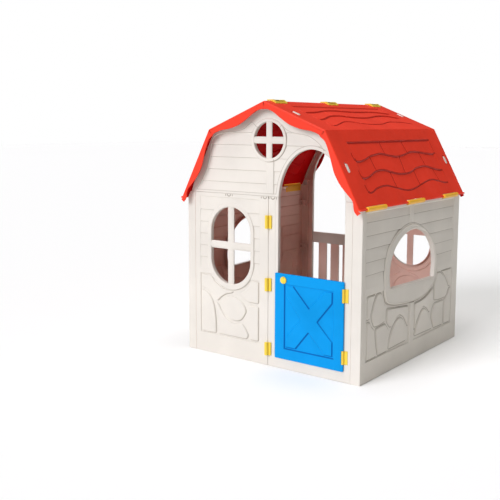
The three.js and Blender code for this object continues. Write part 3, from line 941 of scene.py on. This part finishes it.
def arch(half_width, height, angles):
    """Points of the doorway's arch, or of one round it."""
    x, z = ARCH_MIDDLE
    return [(x + half_width * math.cos(a), z + height * math.sin(a)) for a in angles]


ARCH = np.array([p for p in arch(155, 210, np.linspace(0, math.pi, 49)) if p[1] > 707])
GABLE_FIELD = np.vstack(
    [
        curve([
            (-385, 716), (-367, 740), (-338, 790), (-322, 826), (-312, 865), (-307, 905), (-296, 934),
            (-275, 953), (-240, 962), (-186, 965), (-133, 975), (-104, 992), (-85, 1006),
        ], step=9),
        [(-58, 985), (58, 985)],
        curve([
            (65, 994), (86, 976), (116, 964), (151, 959), (192, 951), (227, 932), (250, 913), (262, 896),
        ], step=9),
        arch(168, 224, np.linspace(1.16, 3.02, 30)),
    ]
)
GABLE_BOARDS = (716, 756, 808, 860, 912, 963)


def tongue(x, side):
    """A tongue that drops behind the panels."""
    x0, x1 = sorted((side * x, side * (x + 13)))
    return block(x0, x1, -HALF_DEPTH + 3.5, -HALF_DEPTH + 10, 692, 710)


def tab(start, end, x, side):
    """A tab that stands up through a slot in a slope of the roof."""
    along = (end - start) / np.linalg.norm(end - start)
    oval = stadium(-HALF_DEPTH + 8, (x - start[0]) / along[0], 6.9, 18.5, steps=8)
    verts, faces = prism(oval, on_slope(start, end), -10, 2.6, bevel=2.0, segments=3)
    if side > 0:
        return verts, faces
    return verts * np.array([-1, 1, 1]), [face[::-1] for face in faces]


def gable():
    outline = [(-416, 706), (50, 706), *ARCH[::-1], (360, 706), (416, 706), (404, 742)]
    outline += [(284.8, 971.4), (0, 1085.2), (-284.8, 971.4), (-404, 742)]
    sheet = Sheet(outline, [stadium(*ROUND_WINDOW)])
    sheet.soften(sheet.outline, 2.2)
    sheet.soften(sheet.rim(), 3.0)
    ring, pilaster = stadium(0, 933, 88, 88), box2(-11, 26, 700, 900)
    # Painted shade under each board's lower edge.
    sheet.sunk(
        GABLE_FIELD, 3.8, slope=4.0, without=[ring, pilaster], boards=GABLE_BOARDS, tilt=3.4, painted_shade=0.55
    )
    sheet.level(ring, 2.2, slope=4.5)
    sheet.shade_edges(ring, 3.4, 0.9)
    sheet.groove(stadium(0, 933, 89.5, 89.5), 4, 1.2, closed=True)
    # Painted shade along the pilaster's edge and round the sunk field.
    sheet.painted_shade([(26, 856), (26, 716)], 3, 0.7)
    sheet.painted_shade(GABLE_FIELD, 3.4, 0.62, closed=True)
    sheet.level(box2(-11, 26, 712, 856), 1.4, slope=3)
    sheet.walls_all(RIM, PANEL_DEPTH)
    piece = Piece().sheet(sheet, facing_front(-HALF_DEPTH))
    bars = crossbars(*ROUND_WINDOW, 14, facing_front(-HALF_DEPTH - BARS_PROUD))
    extras = Piece()
    for side in (-1, 1):
        extras.add(*tongue(397, side))
        extras.add(*tab(KNEE, RIDGE, 129, side))
        extras.add(*tab(EAVE, KNEE, 363, side))
    return joined(piece, bars, extras)


make_pair(gable(), "cream", ("gable_front", "front_gable"), ("gable_back", "back_gable"))


# ---- Roof ----

LOWER_WAVES = [
    [(-366, 207), (-352, 200), (-330, 198), (-284, 205), (-250, 214), (-216, 220), (-142, 226), (-76, 217),
     (-8, 209), (66, 216), (130, 226), (197, 224), (270, 216), (330, 209), (366, 214)],
    [(-366, 130), (-352, 127), (-330, 128), (-301, 134), (-237, 152), (-170, 154), (-110, 141), (-50, 131),
     (24, 130), (70, 137), (118, 149), (203, 155), (270, 143), (325, 131), (366, 128)],
    [(-368, 70), (-352, 66), (-325, 70), (-288, 81), (-209, 87), (-140, 74), (-78, 60), (-30, 55), (30, 60),
     (106, 74), (202, 88), (270, 80), (325, 68), (366, 66)],
]
LOWER_JOINTS = [
    [(-104, 277), (-106, 222)], [(94, 277), (96, 220)], [(-234, 216), (-236, 153)], [(17, 210), (-2, 133)],
    [(212, 221), (216, 154)], [(-121, 142), (-128, 70)], [(92, 140), (84, 70)], [(280, 140), (286, 78)],
]
UPPER_WAVES = [
    [(-366, 190), (-330, 189), (-272, 194), (-200, 209), (-146, 216), (-78, 216), (0, 209), (89, 206),
     (188, 211), (268, 208), (333, 196), (372, 190)],
    [(-366, 116), (-340, 115), (-303, 125), (-221, 152), (-138, 156), (-76, 144), (-11, 137), (69, 140),
     (190, 161), (278, 163), (341, 145), (372, 128)],
    [(-372, 50), (-341, 48), (-293, 62), (-211, 88), (-146, 85), (-113, 72), (-39, 61), (65, 63), (142, 81),
     (194, 89), (283, 85), (337, 73), (372, 64)],
]
UPPER_JOINTS = [
    [(-40, 254), (-42, 212)], [(196, 254), (196, 210)], [(-196, 210), (-200, 156)], [(60, 208), (58, 140)],
    [(-100, 150), (-104, 68)], [(226, 162), (228, 88)],
]


def shingles(sheet, top, waves, joints, strength):
    """Rows of wavy shingles, each sunk at its top and just proud along its lower edge, with painted shade
    under that edge and in the grooves.
    """
    left, right, sunk, proud, step = -366.0, 368.0, -3.8, 1.4, 5.0
    lows = [curve(wave, step=9) for wave in waves]
    tops = [np.array([(left, top), (right, top)]), *lows[:-1]]
    for gap in (0, 2, 4, 5):
        sheet.guide([(left, top - gap), (right, top - gap)], False)
    for low in lows:
        low[0, 0], low[-1, 0] = left, right
        for gap in (-8.6, -6.6, -5.0, -3.2, -1.6, 0.0, 3.0):
            sheet.guide(offset(low, gap, False), False)
        sheet.ring_ends(low, 5.0)
    for u, way in ((left, 1), (right, -1)):
        for shift in (0, 9, 18):
            x = u + way * shift
            bottom = np.interp(x, lows[-1][:, 0], lows[-1][:, 1])
            sheet.guide([(x, bottom - 6), (x, top)], False)

    def height(points):
        u, v = points[:, 0], points[:, 1]
        out = np.zeros(len(points))
        above = 0.0
        for low, upper in zip(lows, tops):
            bottom = np.interp(u, low[:, 0], low[:, 1])
            peak = np.interp(u, upper[:, 0], upper[:, 1])
            rise = np.clip((peak - v) / (peak - bottom), 0, 1)
            base = sunk + (proud - sunk) * rise**1.2
            blend = smooth((peak - v) / step)
            row = (v <= peak) & (v > bottom)
            out[row] = (above * (1 - blend) + base * blend)[row]
            above = proud
        under = (v <= bottom) & (v > bottom - step)
        out[under] = (proud * (1 - smooth((bottom - v) / step)))[under]
        return out * smooth((u - left) / 18) * smooth((right - u) / 18)

    sheet.terms.append(height)
    # Painted shade just under each row's lower edge and in the hooks, joints and top groove; strength sets
    # how dark.
    for low in lows:
        edge = offset(low, -2.8, False)
        sheet.painted_shades.append(
            lambda points, edge=edge: strength * (1 - smooth((distance(points, edge, False) - 1.2) / 4.6))
        )
        u, v = low[0]
        hook = curve([(u - 4, v + 26), (u - 3, v + 10), (u + 1, v + 2), (u + 10, v - 1)], step=4)
        sheet.groove(hook, 8.0, 2.4, painted_shade=strength)
    sheet.groove(offset(lows[-1], -4.0, False), 6.0, 1.8)
    sheet.groove([(right - 2, top), (right + 1, lows[0][-1, 1] + 4)], 6.5, 2.0, painted_shade=0.9 * strength)
    for joint in joints:
        sheet.groove(joint, 9.0, 2.4, painted_shade=strength)
    sheet.groove([(left + 2, top + 1), (right - 2, top + 1)], 12.0, 3.2, painted_shade=strength)


FASCIA_LOWER = [
    (287, 932), (303, 897), (316, 856), (331, 812), (357, 770), (387, 738), (411, 712), (418, 677),
    (432, 660), (447, 671),
]
FASCIA_UPPER = [(20, 1055), (45, 1045), (79, 1022), (124, 995), (173, 979), (222, 971), (257, 959)]
FASCIA_SKIN = 4.0
DROP = 7.5


def below(start, end):
    """The two ends of a slope's line, moved inwards from its outer face."""
    along = (end - start) / np.linalg.norm(end - start)
    inward = np.array([-along[1], along[0]]) * DROP
    return start + inward, end + inward


def fascia(piece, upper_edge, free_edge):
    """A hanging fascia at each end of a slope, with a rounded lower edge."""
    edge = np.array(free_edge, float)
    loop, mirror = np.vstack([upper_edge, edge]), np.array([-1, 1])
    front = (loop, edge, facing_front(-HALF_ROOF + 0.05))
    back = (loop * mirror, edge[::-1] * mirror, facing_back(HALF_ROOF - 0.05))
    for outline, rounded_edge, place in (front, back):
        sheet = Sheet(outline)
        sheet.soften(rounded_edge, 2.6, closed=False)
        piece.sheet(sheet, place, flat_back=FASCIA_SKIN)


def slope_slots(v):
    """The slots at both ends of a slope that the gables' tabs stand in."""
    return [stadium(end * 443, v, 7.5, 23 if v > 174 else 22, steps=7) for end in (-1, 1)]


def slope(outline, holes, low, top, seams, *rows):
    """One slope of the roof, with rounded ends and seams. The two slots come first among its holes."""
    sheet = Sheet(outline, holes)
    for slot in range(2):
        sheet.soften(sheet.rim(slot), 1.6)
    ends = ([(-HALF_ROOF, top), (-HALF_ROOF, low)], [(HALF_ROOF, low), (HALF_ROOF, top)])
    for end in ends:
        sheet.soften(end, 9.0, closed=False, drop=5.5)
    for seam, radius in seams:
        sheet.soften(seam, radius, closed=False)
    shingles(sheet, *rows)
    for end in ends:
        sheet.wall(end, 3.6, 8, closed=False)
    return sheet


def lower_roof():
    low, top, notch = 1.5, LOWER_LENGTH - 0.5, EAVE_CLIP_HALF + 0.5
    outline = [(-HALF_ROOF, low)]
    for y in EAVE_STATIONS:
        outline += [(y - notch, low), (y - notch, 12), (y + notch, 12), (y + notch, low)]
    outline += [(HALF_ROOF, low), (HALF_ROOF, top), (-HALF_ROOF, top)]
    seams = [([(HALF_ROOF, top), (-HALF_ROOF, top)], 1.2)]
    sheet = slope(outline, slope_slots(176), 0, top, seams, 276, LOWER_WAVES, LOWER_JOINTS, 1.0)
    piece = Piece().sheet(sheet, on_slope(EAVE, KNEE), skin=ROOF_SKIN)
    start, end = below(EAVE, KNEE)
    free = curve([(265.8, 949.5), *FASCIA_LOWER[:-1]], step=9)
    fascia(piece, [start + (0, 1), end + (0.5, -0.8)], [*free, (446, 670)])
    x, z = EAVE
    reach = EAVE_CLIP_HALF - 10
    starts = [-HALF_ROOF + 1, *(y + reach for y in EAVE_STATIONS)]
    ends = [*(y - reach for y in EAVE_STATIONS), HALF_ROOF - 1]
    for y0, y1 in zip(starts, ends):
        piece.add(*rod((x, y0, z), (x, y1, z), 4, 1.0, 16))
    return piece


def upper_roof():
    low, top = 0.5, UPPER_LENGTH - 0.6
    outline = [(-HALF_ROOF, low), (HALF_ROOF, low), (HALF_ROOF, top), (-HALF_ROOF, top)]
    holes = slope_slots(174) + [box2(y - 30, y + 30, 289.7, 295.0) for y in RIDGE_STATIONS]
    seams = [(outline[:2], 1.2), (outline[2:], 2.0)]
    sheet = slope(outline, holes, low, top, seams, 253, UPPER_WAVES, UPPER_JOINTS, 0.6)
    piece = Piece().sheet(sheet, on_slope(KNEE, RIDGE), skin=ROOF_SKIN)
    start, end = below(KNEE, RIDGE)
    free = curve([(0.6, 1056), *FASCIA_UPPER, (265.2, 950.5)], step=9)
    fascia(piece, [start + (-1, -1), end + (0.8, 0)], free)
    return piece


for half, level in ((lower_roof(), "lower"), (upper_roof(), "upper")):
    right, left = ((f"roof_{side}_{level}", f"{side}_roof_{level}") for side in ("right", "left"))
    make_pair(half, "red", right, left)


# ---- Door, latch and railing ----

BRACE = [
    (95, 351), (131, 351), (207, 271), (277, 351), (314, 351), (314, 307), (246, 223), (316, 152), (316, 96),
    (278, 96), (205, 173), (143, 96), (95, 96), (95, 138), (166, 222), (95, 309),
]


def door():
    x, y = DOOR_PIVOT
    left, low, high = 41, 44, 398
    outline = [(left, low), (x, low)]
    for z in DOOR_STATIONS:
        outline += [(x, z - 27.5), (x - 5.2, z - 27.5), (x - 5.2, z + 27.5), (x, z + 27.5)]
    outline += [(x, high), (left, high)]
    radii = [5, 3, *([0] * 8), 3, 5]
    sheet = Sheet(rounded(outline, radii), [stadium(*KNOB, 6.3, 6.3, steps=6)])
    sheet.soften([(x, high), (left, high), (left, low), (x, low)], 2.4, closed=False)
    sheet.sunk(box2(89, 322, 89, 357, 3), 3.2, slope=3.6)
    brace = rounded(BRACE, 2.5)
    sheet.level(brace, 3.2, slope=3.6)
    sheet.shade_edges(brace, 5.6, 1.0)
    # Painted shade on the upper notch's left side and on the recess's left, bottom and top edges, which face
    # away from the light.
    sheet.painted_shade([(131, 351), (207, 271)], 5.0, 0.95)
    sheet.painted_shade([(89, 357), (89, 89), (322, 89)], 5.0, 1.0)
    sheet.painted_shade([(89, 357), (322, 357)], 3.0, 0.35)
    sheet.walls_all(4.0, 8)
    piece = Piece().sheet(sheet, facing_front(y - PIVOT_TO_FACE), skin=DOOR_SKIN)
    piece.kinds = [0] * len(piece.kinds)
    for z0, z1 in ((45, 72.5), (127.5, 315.5), (370.5, 397)):
        piece.add(*rod((x, y, z0), (x, y, z1), 4, 1.6, 24))
    for z in DOOR_STATIONS:
        piece.add(*rod((x, y, z - 31), (x, y, z + 31), 2.1, 0, 12))
    return piece


door().make("door_leaf", "door", ["door"], "blue")


def latch():
    x, z = KNOB
    face = DOOR_PIVOT[1] - PIVOT_TO_FACE
    piece = Piece()
    piece.add(*rod((x, face - 0.4, z), (x, face - 6, z), 15, 2.0, 40, end_radius=14))
    piece.add(*rod((x, face - 5.5, z), (x, face - 7.0, z), 10.5, 0.7, 32, end_radius=9.0))
    piece.add(*block(x - 3.5, x + 3.5, face - 8.4, face - 4, z - 12.5, z + 12.5, 1.6, 3))
    piece.add(*rod((x, face - 1, z), (x, -429, z), 5.9, 0, 24))
    piece.add(*block(x - 7, x + 7, -434, -429, z - 50, z + 7, 2.0, 3))
    return piece


latch().make("turn_latch", "door_latch", ["door_latch"], "yellow")


def railing():
    piece = Piece()
    y0, y1 = -449, -439
    piece.add(*block(50.5, 359.5, y0, y1, 380, 436, 3.0, 3))
    piece.add(*block(50.5, 359.5, y0, y1, 50.5, 90, 3.0, 3))
    for x in (55, 128, 200, 273):
        sheet = Sheet(box2(x, x + 49, 80, 392))
        sheet.soften([(x, 392), (x, 80)], 2.6, closed=False)
        sheet.soften([(x + 49, 80), (x + 49, 392)], 2.6, closed=False)
        sheet.groove([(x + 24.5, 98), (x + 24.5, 372)], 9, 1.6)
        piece.sheet(sheet, facing_front(-448), flat_back=8)
    return piece


railing().turned().make("railing_back", "back_left_panel", ["back_railing"], "cream")


# ---- Clips ----


def centre_clip(station):
    z0, z1 = station - HINGE_CLIP_HALF, station + HINGE_CLIP_HALF
    piece = Piece()
    piece.add(*rod((0, -CENTRE_Y, z0), (0, -CENTRE_Y, z1), 8, 1.6, 32))
    piece.add(*block(2, 19, -HALF_DEPTH - 6.3, -HALF_DEPTH - 0.3, z0, z1, 1.6, 3))
    for z in (station - 15, station + 15):
        piece.add(*rod((13, -HALF_DEPTH - 6.0, z), (13, -HALF_DEPTH - 7.2, z), 3.2, 0.6, 20, end_radius=2.6))
    return piece


def eave_clip(y):
    x, z = EAVE
    low, high = y - EAVE_CLIP_HALF, y + EAVE_CLIP_HALF
    piece = Piece()
    piece.add(*rod((x, low, z), (x, high, z), 9.5, 2.2, 36))
    piece.add(*block(430.4, x - 5, low + 2, high - 2, z - 7, z, 1.0))
    piece.add(*block(430.4, 433.6, low + 8, high - 8, z - 30, z - 4, 0.8))
    return piece


def ridge_clip(y):
    low, high = y - RIDGE_CLIP_HALF, y + RIDGE_CLIP_HALF
    fall = (RIDGE[1] - KNEE[1]) / KNEE[0]
    top = RIDGE[1]
    profile = [
        (-19, top + 0.5), (0, top + 0.5), (27, top - 27 * fall + 0.5), (25, top - 25 * fall + 5),
        (17, top + 2.2), (14, top + 1.2), (-8, top + 1.2), (-8, top + 5.5), (-16, top + 5.5),
    ]
    solid = [*profile[:4], (10, top + 5.5), (-16, top + 5.5)]
    piece = Piece()
    place = facing_front(0)
    for outline, a, b in ((profile, y - 27, y + 27), (solid, low, y - 26.9), (solid, y + 26.9, high)):
        verts, faces = prism(outline, place, -b, -a, bevel=0.7)
        # Painted shadow in the slot on top: its vertices carry the dark mark, which turns the yellow near
        # black.
        deep = [float(-9 < v[0] < 18 and abs(v[1] - y) < 28 and v[2] < top + 4) for v in verts]
        piece.add(verts, faces, dark=deep if outline is profile else None)
    piece.add(*block(14.3, 18.7, y - 29.7, y + 29.7, top - 16, top - 4, 0.5))
    return piece


def door_clip(z):
    x, y = DOOR_PIVOT
    z0, z1 = z - HINGE_CLIP_HALF, z + HINGE_CLIP_HALF
    piece = Piece()
    piece.add(*rod((x, y, z0), (x, y, z1), 4.6, 1.2, 28))
    piece.add(*block(x - 3, x + 5, y + 1, y + 6, z0, z1, 0.8))
    piece.add(*block(x - 1.5, x + 19, y + 5.0, y + 9.8, z0, z1, 1.3, 3))
    return piece


for i, station in enumerate(CENTRE_STATIONS, 1):
    make_pair(
        centre_clip(station),
        "yellow",
        (f"clip_front_centre_{i}", "front_right_panel", f"front_centre_hinge_{i}"),
        (f"clip_back_centre_{i}", "back_left_panel", f"back_centre_hinge_{i}"),
    )
# The eave clips take the orange copy of the yellow, with painted red bounce light.
for i, y in enumerate(EAVE_STATIONS, 1):
    make_pair(
        eave_clip(y),
        "yellow",
        (f"clip_eave_right_{i}", "right_wall", f"right_eave_hinge_{i}"),
        (f"clip_eave_left_{i}", "left_wall", f"left_eave_hinge_{i}"),
        materials=(YELLOW_PAINTED_RED_BOUNCE,),
    )
for i, y in enumerate(RIDGE_STATIONS, 1):
    ridge_clip(y).make(f"clip_ridge_{i}", "right_roof_upper", [f"ridge_clip_{i}"], "yellow")
for i, z in enumerate(DOOR_STATIONS, 1):
    door_clip(z).make(f"clip_door_{i}", "front_right_panel", [f"door_hinge_{i}"], "yellow")

for name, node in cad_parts.items():
    if name.startswith("corner_pin"):
        node.data.materials.clear()
        node.data.materials.append(PIN)


# ---- Floor, light and camera ----

FLOOR_HALF = 30.0
FLOOR_COLOUR = (0.955, 0.95, 0.935, 1)
WORLD_LIGHT = 0.11
CAMERA_PLACE = (1.8693, -3.0074, 0.9974)
CAMERA_ANGLES = (37.52, 6.99, 0.1)


def studio():
    mesh = bpy.data.meshes.new("floor")
    far = FLOOR_HALF
    mesh.from_pydata([(-far, -far, 0), (far, -far, 0), (far, far, 0), (-far, far, 0)], [], [(0, 1, 2, 3)])
    floor = bpy.data.objects.new("floor", mesh)
    bpy.context.scene.collection.objects.link(floor)
    floor.location.z = -0.0005
    material = bpy.data.materials.new("studio_floor")
    material.use_nodes = True
    matt = {"Base Color": FLOOR_COLOUR, "Roughness": 1.0, "Specular IOR Level": 0.0}
    put(material.node_tree.nodes["Principled BSDF"], matt)
    mesh.materials.append(material)

    world = bpy.data.worlds.new("studio")
    world.use_nodes = True
    nodes, links = world.node_tree.nodes, world.node_tree.links
    white = (1, 1, 1, 1)
    light = put(nodes["Background"], {"Color": white, "Strength": WORLD_LIGHT})
    seen = put(nodes.new("ShaderNodeBackground"), {"Color": white, "Strength": 1.0})
    path = nodes.new("ShaderNodeLightPath")
    both = nodes.new("ShaderNodeMixShader")
    links.new(path.outputs["Is Camera Ray"], both.inputs[0])
    links.new(light.outputs[0], both.inputs[1])
    links.new(seen.outputs[0], both.inputs[2])
    links.new(both.outputs[0], nodes["World Output"].inputs["Surface"])
    bpy.context.scene.world = world

    def lamp(name, kind, place, target, energy, size=None, angle=None, colour=(1, 1, 1)):
        data = bpy.data.lights.new(name, kind)
        data.energy = energy
        data.color = colour
        if size:
            data.shape = "RECTANGLE"
            data.size, data.size_y = size
            data.spread = math.radians(110)
        if angle:
            data.angle = math.radians(angle)
        obj = bpy.data.objects.new(name, data)
        obj.location = place
        obj.rotation_euler = (Vector(target) - Vector(place)).to_track_quat("-Z", "Y").to_euler()
        obj.visible_camera = False
        bpy.context.scene.collection.objects.link(obj)

    lamp("key", "SUN", (-1.15, -5.0, 2.9), (0, 0, 0.5), 2.45, angle=34, colour=(0.93, 0.932, 1.0))
    lamp("top", "SUN", (0.15, -0.3, 5.0), (0, 0, 0.0), 1.95, angle=50)
    warm = (1.0, 0.97, 0.97)
    lamp("inner", "AREA", (-0.05, -0.3, 0.55), (0.22, 0.45, 0.3), 0.4, size=(0.25, 0.25), colour=warm)
    bpy.context.scene.view_settings.view_transform = "Standard"


def camera():
    azimuth, elevation, roll = (math.radians(angle) for angle in CAMERA_ANGLES)
    level = math.cos(elevation)
    back = Vector((math.sin(azimuth) * level, -math.cos(azimuth) * level, math.sin(elevation)))
    right = Vector((math.cos(azimuth), math.sin(azimuth), 0))
    up = back.cross(right)
    turned_right = right * math.cos(roll) + up * math.sin(roll)
    turned_up = up * math.cos(roll) - right * math.sin(roll)
    rotation = Matrix((turned_right, turned_up, back)).transposed().to_4x4()
    data = bpy.data.cameras.new("camera")
    data.lens = 56.4
    data.sensor_width = 36
    data.shift_y = -0.06
    data.clip_end = 100
    obj = bpy.data.objects.new("camera", data)
    obj.matrix_world = Matrix.Translation(CAMERA_PLACE) @ rotation
    bpy.context.scene.collection.objects.link(obj)
    bpy.context.scene.camera = obj


studio()
camera()
